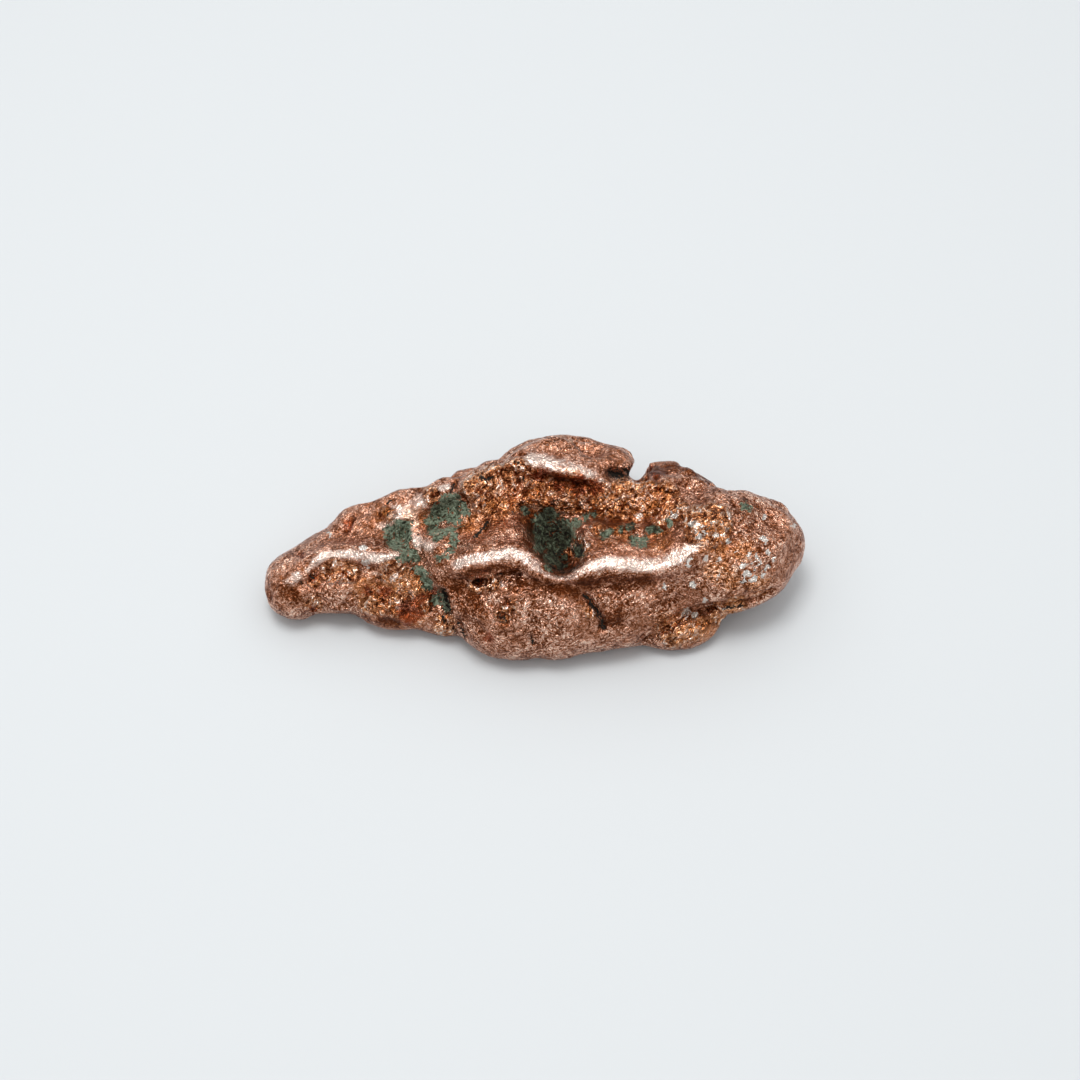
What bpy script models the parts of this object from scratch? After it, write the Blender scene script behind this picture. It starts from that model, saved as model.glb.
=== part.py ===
"""Native copper nugget: one solid, a long water-worn lump that lies on its worn underside.

Metres, +Z up, +X along the nugget from its knob to its blunt end, origin at the middle of its base.
Sizes in the tables are millimetres. The lump is made as a carver would make it: round lumps are
fused, the notch is cut, hollows and ridges are worked into the fused body along short lines, and
last the body is cut flat underneath, where it has worn on the ground.
"""

import math

import bpy
import numpy as np
from mathutils import Matrix, Vector
from mathutils.bvhtree import BVHTree

MM = 0.001
NAME = "copper_nugget"

# Round lumps that fuse to the body: centre, half sizes, turn about Z, and lean in degrees, which
# tips a lump's top towards the front, or towards the back where it is minus.
LUMPS = {
    "knob": ((-30.8, -4.6, 4.5), (4.1, 4.6, 4.5), 0, 0),
    "neck": ((-26.0, -2.8, 4.9), (6.4, 6.0, 4.4), 12, -10),
    "wedge": ((-19.0, -0.2, 6.2), (10.4, 7.4, 5.2), 14, -16),
    "wedge_back": ((-14.8, 3.3, 6.8), (7.4, 4.4, 5.0), 8, -10),
    "wedge_shelf": ((-18.0, -6.3, 3.9), (6.3, 4.1, 3.6), -6, 0),
    "notch_foot": ((-12.0, -8.0, 3.4), (3.6, 3.1, 3.3), 0, 0),
    "saddle": ((-12.6, -2.4, 6.6), (5.4, 6.4, 6.0), 0, 0),
    "shoulder": ((-8.0, 4.9, 7.8), (7.6, 5.4, 6.4), 22, 0),
    "front_left": ((-3.2, -6.9, 7.2), (8.8, 8.9, 6.0), -4, 39),
    "front_lobe": ((6.4, -6.5, 7.4), (14.4, 8.4, 6.0), 4, 43),
    "front_middle": ((2.2, -7.1, 7.2), (5.6, 8.8, 5.9), 0, 41),
    "back_lobe": ((3.0, 8.3, 9.3), (9.2, 6.6, 5.7), 0, -38),
    "back_lobe_end": ((8.9, 9.1, 9.9), (4.4, 4.6, 3.9), 0, -42),
    "middle": ((2.0, 0.4, 6.0), (19.0, 9.0, 6.2), 0, 0),
    "granular_slope": ((10.6, 4.2, 8.4), (13.0, 6.4, 5.0), 0, 30),
    "blunt_body": ((21.7, -1.9, 8.6), (10.6, 8.2, 7.0), -6, 0),
    "blunt_tip": ((28.3, -0.7, 8.2), (5.1, 5.3, 4.9), 0, -24),
    "blunt_bump": ((26.6, 3.3, 8.6), (2.6, 2.3, 2.8), 0, 0),
    "under_lobe": ((17.4, -9.3, 3.7), (5.8, 3.9, 3.1), 10, 40),
    "horn": ((17.4, 7.8, 8.8), (5.6, 2.5, 4.6), -18, 0),
}
FUSE_VOXEL = 0.5
BLEND_ROUNDS = 24

# The notch between the back lobe and the horn, open right through along the leaning line. Its
# floor is wide and its mouth narrow, so that a lip hooks over it from each side.
NOTCH_CUTS = {
    "floor": ((12.45, 8.45, 9.75), (1.45, 1.35, 14.0)),
    "mouth": ((12.65, 10.2, 10.8), (0.80, 2.2, 14.0)),
}
NOTCH_LEAN = 30.0

# Sheets that face the lump from around it, for drawing lines on: azimuth and elevation of the
# viewer in degrees. On a sheet u runs right and v up, in mm from the sheet's centre.
SHEETS = {
    "front": (0, 60),
    "back": (180, 25),
    "knob_end": (270, 15),
    "blunt_end": (90, 15),
    "under": (0, -80),
}
SHEET_CENTRE = (0.0, 0.0, 8.0)
VIEWER_DISTANCE = 264.0
LINE_STEP = 0.25

# Worked lines: sheet, points (u, v), reach to each side, and lift at the middle; minus sinks.
WORKED = {
    "pit": ("front", [(1.0, 2.4), (2.4, -1.4)], 4.4, -4.6),
    "pit_throat": ("front", [(2.2, 0.2), (2.6, -2.0)], 2.6, -3.4),
    "pit_mouth": ("front", [(-1.2, 3.2), (2.5, 3.0), (6.0, 3.0)], 2.2, -1.0),
    "wedge_hollow": (
        "front",
        [(-28.5, -4.6), (-25.5, -4.0), (-22.5, -4.1), (-19.8, -4.9)],
        1.7,
        -0.9,
    ),
    "wedge_slope": ("front", [(-25.0, 1.0), (-21.0, 1.2), (-18.0, 1.4)], 2.6, -0.8),
    "channel": ("front", [(-17.5, 0.6), (-15.6, -1.6), (-14.4, -4.6), (-12.8, -8.0)], 2.2, -1.1),
    "matrix_flat": ("front", [(-14.0, 2.6), (-11.0, 3.6)], 3.2, -1.1),
    "long_groove": ("front", [(6.0, 1.8), (9.0, 0.8), (13.0, 0.5), (16.5, 1.5)], 1.4, -1.0),
    "grainy_hollow": (
        "front",
        [(-3.0, 5.6), (0.5, 6.6), (3.5, 6.6), (7.0, 6.4)],
        2.2,
        -1.0,
    ),
    "slope_foot": ("front", [(5.5, 3.6), (9.5, 3.0), (14.0, 3.0)], 2.4, -1.0),
    "slope_head": ("front", [(7.5, 6.8), (12.0, 7.0), (16.0, 7.2)], 2.0, 0.8),
    "front_hollow": ("front", [(-9.6, -6.4), (-7.2, -7.2), (-5.2, -8.4)], 2.4, -0.8),
    "front_crack": ("front", [(5.7, -7.2), (6.8, -8.8), (8.0, -11.0)], 1.2, -0.9),
    "lobe_groove": (
        "front",
        [(13.4, -12.4), (15.6, -11.0), (19.0, -9.4), (23.0, -8.4), (28.0, -7.2)],
        1.3,
        -1.2,
    ),
    "lobe_end_hole": ("front", [(9.8, 8.3)], 1.7, -1.7),
    "knob_neck": ("front", [(-27.6, -6.2), (-27.4, -8.6)], 1.6, -0.6),
    "wedge_crest": (
        "front",
        [(-30.0, -3.6), (-27.0, -1.9), (-24.6, -1.5), (-21.5, -1.7), (-18.2, -2.1)],
        1.9,
        1.2,
    ),
    "left_crest": (
        "front",
        [(-10.8, -3.0), (-7.5, -2.2), (-4.5, -1.7), (-2.0, -2.3), (-0.2, -3.8)],
        2.8,
        1.5,
    ),
    "hood_hollow": ("front", [(-8.6, -5.4), (-6.0, -5.1), (-3.4, -4.4)], 1.4, -1.3),
    "pit_rim": ("front", [(-0.2, -3.8), (2.6, -4.9), (4.8, -4.4)], 1.6, 1.0),
    "right_crest": (
        "front",
        [(4.8, -4.5), (6.8, -3.7), (10, -3.4), (14, -3.6), (17, -2.8), (19, -1.4)],
        3.4,
        1.7,
    ),
    "crest_step": ("front", [(3.6, -6.6), (8.0, -6.0), (12.0, -6.0), (16.0, -5.4)], 2.0, -0.7),
    "back_crest": (
        "front",
        [(-15.0, 3.8), (-12.5, 5.2), (-9.0, 6.3), (-5.0, 8.4), (-2.0, 9.6)],
        1.9,
        0.9,
    ),
    "lobe_crest": ("front", [(-2.0, 9.7), (1.0, 9.4), (4.0, 8.6), (6.4, 7.9)], 2.3, 1.2),
    "horn_ridge": ("front", [(15.0, 7.2), (18.0, 7.6), (21.0, 6.9), (23.5, 5.4)], 1.5, 0.5),
    "back_groove": (
        "back",
        [(-17.0, 1.0), (-10.0, -2.2), (-2.0, -3.0), (6.0, -1.5), (11.0, 0.5)],
        2.6,
        -1.4,
    ),
    "back_pit": ("back", [(-7.0, 1.2), (-5.0, 0.4)], 2.6, -2.2),
    "back_shelf": ("back", [(-4.0, 1.6), (2.0, 2.2), (7.0, 2.0)], 2.0, 0.9),
    "back_foot_ridge": ("back", [(-14.0, -5.6), (-4.0, -6.0), (6.0, -5.2)], 2.2, 0.9),
    "wedge_back_dent": ("back", [(13.0, -2.4), (18.0, -3.4), (23.0, -3.2)], 2.4, -1.0),
    "wedge_back_rib": ("back", [(12.0, 1.6), (18.0, 0.8), (25.0, -1.6)], 1.8, 0.7),
    "horn_root_dent": ("back", [(-20.0, -1.0), (-24.0, 0.6)], 2.4, -1.2),
    "blunt_back_rib": ("back", [(-30.0, 0.0), (-26.0, -2.8), (-21.0, -4.4)], 1.8, 0.8),
    "knob_dent": ("knob_end", [(3.4, -4.4), (5.0, -2.6)], 1.8, -0.6),
    "blunt_end_dent": ("blunt_end", [(-3.2, 1.0), (-0.6, -1.6)], 2.4, -0.8),
    "blunt_end_rib": ("blunt_end", [(-5.0, -3.0), (0.0, -4.2), (4.0, -2.2)], 1.6, 0.6),
    "under_hollow": ("under", [(-8.0, 1.0), (2.0, -1.0), (12.0, 2.0)], 3.6, -1.3),
    "under_wedge_hollow": ("under", [(-25.0, 2.0), (-18.0, -1.0)], 2.8, -1.0),
}
WORN_VOXEL = 0.45
WORN_ROUNDS = 3
TRIANGLES = 9400

# How much of the lowest lumps is worn away, flat, and the block that cuts it off.
WORN_FLAT = 1.0
GROUND_SIZE = (120.0, 60.0, 20.0)

COPPER_COLOUR = (0.55, 0.27, 0.17, 1.0)
COPPER_ROUGHNESS = 0.38


def applied(body, kind, **values):
    """Add a modifier to the active object, set its values, and apply it."""
    modifier = body.modifiers.new(kind.lower(), kind)
    for key, value in values.items():
        setattr(modifier, key, value)
    bpy.ops.object.modifier_apply(modifier=modifier.name)


def squeezed(centre, half_sizes, turn):
    """Matrix that brings a shape of half size 1 to these half sizes, turned and placed."""
    squeeze = Matrix.Diagonal(Vector(half_sizes) * MM).to_4x4()
    return Matrix.Translation(Vector(centre) * MM) @ turn @ squeeze


def fused_lumps():
    lumps = []
    for name, (centre, half_sizes, turn, lean) in LUMPS.items():
        bpy.ops.mesh.primitive_uv_sphere_add(segments=48, ring_count=24, radius=1.0)
        lump = bpy.context.object
        lump.name = name
        about_z = Matrix.Rotation(math.radians(turn), 4, "Z")
        about_x = Matrix.Rotation(math.radians(lean), 4, "X")
        lump.data.transform(squeezed(centre, half_sizes, about_z @ about_x))
        lumps.append(lump)
    for lump in lumps:
        lump.select_set(True)
    bpy.ops.object.join()
    body = bpy.context.object
    applied(body, "REMESH", mode="VOXEL", voxel_size=FUSE_VOXEL * MM)
    applied(body, "SMOOTH", iterations=BLEND_ROUNDS, factor=0.5)
    return body


def cut_notch(body):
    about_x = Matrix.Rotation(math.radians(NOTCH_LEAN), 4, "X")
    for centre, half_sizes in NOTCH_CUTS.values():
        bpy.ops.mesh.primitive_uv_sphere_add(segments=24, ring_count=16, radius=1.0)
        cutter = bpy.context.object
        cutter.data.transform(squeezed(centre, half_sizes, about_x))
        bpy.context.view_layer.objects.active = body
        applied(body, "BOOLEAN", operation="DIFFERENCE", object=cutter)
        bpy.data.objects.remove(cutter)


def sheet_frame(sheet):
    """Right, up and towards-the-viewer directions of a sheet."""
    azimuth, elevation = (math.radians(angle) for angle in SHEETS[sheet])
    right = Vector((math.cos(azimuth), math.sin(azimuth), 0.0))
    level = Vector((math.sin(azimuth), -math.cos(azimuth), 0.0))
    towards = level * math.cos(elevation) + Vector((0.0, 0.0, math.sin(elevation)))
    return right, towards.cross(right), towards


def smooth_line(points):
    """Closely spaced points on the smooth curve (Catmull-Rom) through the given ones."""
    points = [Vector(point) for point in points]
    ends = [points[0], *points, points[-1]]
    line = []
    for before, start, end, after in zip(ends, ends[1:], ends[2:], ends[3:]):
        steps = math.ceil((end - start).length / LINE_STEP)
        for step in range(steps):
            t = step / steps
            bend = 2 * before - 5 * start + 4 * end - after
            twist = 3 * start - before - 3 * end + after
            line.append(start + 0.5 * ((end - before) * t + bend * t**2 + twist * t**3))
    return [*line, points[-1]]


def on_surface(body, sheet, points):
    """Feet of a sheet's line on the body, and the surface's outward directions there."""
    tree = BVHTree.FromObject(body, bpy.context.evaluated_depsgraph_get())
    right, up, towards = sheet_frame(sheet)
    centre = Vector(SHEET_CENTRE) * MM
    viewer = centre + towards * VIEWER_DISTANCE * MM
    hits = []
    for u, v in smooth_line(points):
        target = centre + (right * u + up * v) * MM
        foot, normal, _, _ = tree.ray_cast(viewer, (target - viewer).normalized())
        if foot is not None:
            hits.append((foot, normal))
    feet, normals = zip(*hits)
    return np.array(feet), np.array(normals)


def work(body, sheet, points, reach, lift):
    """Raise or sink the surface along a line, falling off smoothly to nothing at its reach."""
    feet, normals = on_surface(body, sheet, points)
    spots = np.empty(len(body.data.vertices) * 3)
    body.data.vertices.foreach_get("co", spots)
    spots = spots.reshape(-1, 3)
    gaps = np.linalg.norm(spots[:, None] - feet[None], axis=2)
    nearest = gaps.argmin(axis=1)
    share = np.clip(1 - (gaps.min(axis=1) / (reach * MM)) ** 2, 0, 1) ** 2
    outward = normals[nearest] + normals.mean(axis=0)
    outward /= np.linalg.norm(outward, axis=1)[:, None]
    spots += outward * (share * lift * MM)[:, None]
    body.data.vertices.foreach_set("co", spots.ravel())
    body.data.update()


def thin_out(body):
    """Bring the fine worked body down to a light one that keeps its forms."""
    applied(body, "REMESH", mode="VOXEL", voxel_size=WORN_VOXEL * MM)
    applied(body, "SMOOTH", iterations=WORN_ROUNDS, factor=0.5)
    applied(body, "TRIANGULATE")
    applied(body, "DECIMATE", ratio=TRIANGLES / len(body.data.polygons))


def wear_flat(body):
    """Cut away what lies lower than the worn plane, and leave flat faces there."""
    lowest = min(vertex.co.z for vertex in body.data.vertices) / MM
    bpy.ops.mesh.primitive_cube_add(size=2.0)
    ground = bpy.context.object
    middle = (0.0, 0.0, lowest + WORN_FLAT - GROUND_SIZE[2] / 2)
    half_sizes = Vector(GROUND_SIZE) / 2
    ground.data.transform(squeezed(middle, half_sizes, Matrix.Identity(4)))
    bpy.context.view_layer.objects.active = body
    applied(body, "BOOLEAN", operation="DIFFERENCE", object=ground)
    bpy.data.objects.remove(ground)


def stand_at_origin(body):
    """Move the mesh so that the middle of its base is at the origin."""
    spots = np.array([vertex.co for vertex in body.data.vertices])
    low, high = spots.min(axis=0), spots.max(axis=0)
    middle = (low + high) / 2
    body.data.transform(Matrix.Translation((-middle[0], -middle[1], -low[2])))


def copper():
    material = bpy.data.materials.new("worn_native_copper")
    material.use_nodes = True
    shader = material.node_tree.nodes["Principled BSDF"]
    shader.inputs["Base Color"].default_value = COPPER_COLOUR
    shader.inputs["Metallic"].default_value = 1.0
    shader.inputs["Roughness"].default_value = COPPER_ROUGHNESS
    return material


for leftover in list(bpy.data.objects):
    bpy.data.objects.remove(leftover)

nugget = fused_lumps()
cut_notch(nugget)
for line in WORKED.values():
    work(nugget, *line)
thin_out(nugget)
wear_flat(nugget)
stand_at_origin(nugget)
nugget.name = NAME
nugget.data.name = NAME
nugget.data.materials.clear()
nugget.data.materials.append(copper())
nugget.data.shade_smooth()

home = bpy.data.collections.new(NAME)
bpy.context.scene.collection.children.link(home)
for holder in list(nugget.users_collection):
    holder.objects.unlink(nugget)
home.objects.link(nugget)
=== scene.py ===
import math

import bpy
import numpy as np
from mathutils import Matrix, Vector
from mathutils.bvhtree import BVHTree
from mathutils.kdtree import KDTree


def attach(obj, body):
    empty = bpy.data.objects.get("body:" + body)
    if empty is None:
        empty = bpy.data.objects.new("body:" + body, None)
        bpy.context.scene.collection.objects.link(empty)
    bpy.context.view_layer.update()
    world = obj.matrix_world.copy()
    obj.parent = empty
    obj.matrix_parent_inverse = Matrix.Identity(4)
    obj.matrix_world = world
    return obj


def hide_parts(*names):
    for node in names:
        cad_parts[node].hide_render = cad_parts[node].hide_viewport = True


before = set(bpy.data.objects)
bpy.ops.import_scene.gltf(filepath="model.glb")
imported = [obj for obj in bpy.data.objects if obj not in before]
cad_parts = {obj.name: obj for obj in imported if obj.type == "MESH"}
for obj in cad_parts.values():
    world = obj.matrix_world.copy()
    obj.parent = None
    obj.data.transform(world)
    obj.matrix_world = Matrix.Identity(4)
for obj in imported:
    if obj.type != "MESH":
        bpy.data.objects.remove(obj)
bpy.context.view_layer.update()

# ---------------------------------------------------------------------------------------------
# The lump itself: one piece of native copper, grown in rock and then rolled smooth in a stream.
# Its skin starts as a close copy of the solid, remade as a fine even net that can be worked.
# ---------------------------------------------------------------------------------------------
MM = 0.001
NET_SPACING = 0.25
MERGE_GAP = 0.01
FACET_ROUNDS = 10
SMOOTH_SHARE = 0.5

bpy.ops.object.select_all(action="DESELECT")
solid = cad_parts["copper_nugget"]
skin = solid.data.copy()
skin.transform(solid.matrix_world)
nugget = bpy.data.objects.new("worn_copper_lump", skin)
bpy.context.scene.collection.objects.link(nugget)
bpy.context.view_layer.objects.active = nugget
nugget.select_set(True)


def applied(kind, **values):
    """Give the lump a modifier with these values, and apply it."""
    modifier = nugget.modifiers.new(kind.lower(), kind)
    for key, value in values.items():
        setattr(modifier, key, value)
    bpy.ops.object.modifier_apply(modifier=modifier.name)


bpy.ops.object.mode_set(mode="EDIT")
bpy.ops.mesh.select_all(action="SELECT")
bpy.ops.mesh.remove_doubles(threshold=MERGE_GAP * MM)
bpy.ops.object.mode_set(mode="OBJECT")
applied("REMESH", mode="VOXEL", voxel_size=NET_SPACING * MM)
applied("SMOOTH", iterations=FACET_ROUNDS, factor=SMOOTH_SHARE)


# ---------------------------------------------------------------------------------------------
# The chaser's marks: crests, lips, hollows and cracks worked into the skin. Each is a line drawn
# on a slanted sheet that faces the lump, u to the right and v up in mm from the sheet's middle,
# with its reach to each side and its lift, which is minus where the mark sinks.
# ---------------------------------------------------------------------------------------------
# Azimuth and elevation of each sheet's viewer.
SHEETS = {"front": (0, 60), "back": (180, 25)}
SHEET_MIDDLE = Vector((0.754, -0.338, 6.995))
VIEWER_DISTANCE = 264.0
LINE_STEP = 0.1
OUTWARD_ROUNDS = 6
SIGHT_ROUNDS = 2
# A point is seen when nothing stands further than the slack in front of it. Sight fades in from
# edge-on, so that no mark ends in a step.
SIGHT_SLACK = 0.12
EDGE_ON = 0.02
SIGHT_FADE = 4.0


def net_points():
    """The net's points and their outward directions, in mm."""
    mesh = nugget.data
    points = np.empty(len(mesh.vertices) * 3, dtype=np.float32)
    mesh.vertices.foreach_get("co", points)
    directions = np.empty(len(mesh.vertices) * 3, dtype=np.float32)
    mesh.vertices.foreach_get("normal", directions)
    return points.reshape(-1, 3).astype(float) / MM, directions.reshape(-1, 3).astype(float)


def set_net(points):
    nugget.data.vertices.foreach_set("co", (points * MM).ravel())
    nugget.data.update()


def net_edges():
    edges = np.empty(len(nugget.data.edges) * 2, dtype=np.int32)
    nugget.data.edges.foreach_get("vertices", edges)
    return edges.reshape(-1, 2)


def evened(values, edges, rounds):
    """Values on the net, averaged with their neighbours' a number of times."""
    ends = np.concatenate([edges[:, 0], edges[:, 1]])
    others = np.concatenate([edges[:, 1], edges[:, 0]])
    count = np.bincount(ends, minlength=len(values)).astype(float)
    flat = values.reshape(len(values), -1).astype(float)
    for _ in range(rounds):
        total = np.stack(
            [np.bincount(ends, weights=column[others], minlength=len(values)) for column in flat.T],
            axis=1,
        )
        flat = 0.5 * flat + 0.5 * total / count[:, None]
    return flat.reshape(values.shape)


def sheet_frame(sheet):
    azimuth, elevation = (math.radians(angle) for angle in SHEETS[sheet])
    right = Vector((math.cos(azimuth), math.sin(azimuth), 0.0))
    level = Vector((math.sin(azimuth), -math.cos(azimuth), 0.0))
    towards = level * math.cos(elevation) + Vector((0.0, 0.0, math.sin(elevation)))
    return right, towards.cross(right), towards


def on_sheet(points, sheet):
    """Where each point of the net shows on a sheet."""
    right, up, towards = (np.array(way) for way in sheet_frame(sheet))
    middle = np.array(SHEET_MIDDLE)
    viewer = middle + towards * VIEWER_DISTANCE
    away = points - viewer
    spread = VIEWER_DISTANCE / -(away @ towards)
    return (away @ right) * spread, (away @ up) * spread


def in_sight(points, directions, sheet):
    """1 where the viewer of a sheet sees the net, 0 where it is hidden or seen edge-on."""
    towards = sheet_frame(sheet)[2]
    viewer = (SHEET_MIDDLE + towards * VIEWER_DISTANCE) * MM
    tree = BVHTree.FromObject(nugget, bpy.context.evaluated_depsgraph_get())
    seen = np.zeros(len(points))
    facing = directions @ np.array(towards)
    for index in np.flatnonzero(facing > EDGE_ON):
        target = Vector(points[index] * MM)
        gap = (target - viewer).length
        hit = tree.ray_cast(viewer, (target - viewer).normalized(), gap)
        if hit[0] is None or gap - hit[3] < SIGHT_SLACK * MM:
            seen[index] = min(1.0, SIGHT_FADE * facing[index])
    return seen


def smooth_line(points):
    """Close points on the smooth curve (Catmull-Rom) through the given ones."""
    points = np.array(points, dtype=float)
    if len(points) == 1:
        return points
    ends = np.vstack([points[0], points, points[-1]])
    line = []
    for before, start, end, after in zip(ends, ends[1:], ends[2:], ends[3:]):
        steps = max(2, math.ceil(np.linalg.norm(end - start) / LINE_STEP))
        for t in np.arange(steps) / steps:
            bend = 2 * before - 5 * start + 4 * end - after
            twist = 3 * start - before - 3 * end + after
            line.append(start + 0.5 * ((end - before) * t + bend * t**2 + twist * t**3))
    return np.array([*line, points[-1]])


def near_line(u, v, line, reach):
    """Indices of the net's points within reach of a line, and how far off each is."""
    low, high = line.min(axis=0) - reach, line.max(axis=0) + reach
    close = np.flatnonzero((u > low[0]) & (u < high[0]) & (v > low[1]) & (v < high[1]))
    across = np.stack([u[close], v[close]], axis=1)
    gaps = np.linalg.norm(across[:, None] - line[None], axis=2).min(axis=1)
    return close[gaps < reach], gaps[gaps < reach]


def work(sheet, marks):
    """Work a set of marks into the net, each raised or sunk along the skin's own direction."""
    points, directions = net_points()
    edges = net_edges()
    outward = evened(directions, edges, OUTWARD_ROUNDS)
    outward /= np.linalg.norm(outward, axis=1)[:, None]
    u, v = on_sheet(points, sheet)
    seen = evened(in_sight(points, directions, sheet), edges, SIGHT_ROUNDS)
    lift = np.zeros(len(points))
    for line, reach, height in marks.values():
        close, gaps = near_line(u, v, smooth_line(line), reach)
        lift[close] += height * (1 - (gaps / reach) ** 2) ** 2
    set_net(points + outward * (lift * seen)[:, None])


BLACK_CRACK = [
    (5.6, -7), (6.3, -7.5), (6.4, -8.2), (7.2, -8.8), (7.3, -9.4),
    (7.8, -9.9), (7.8, -10.6), (8.1, -11.2),
]

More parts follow.
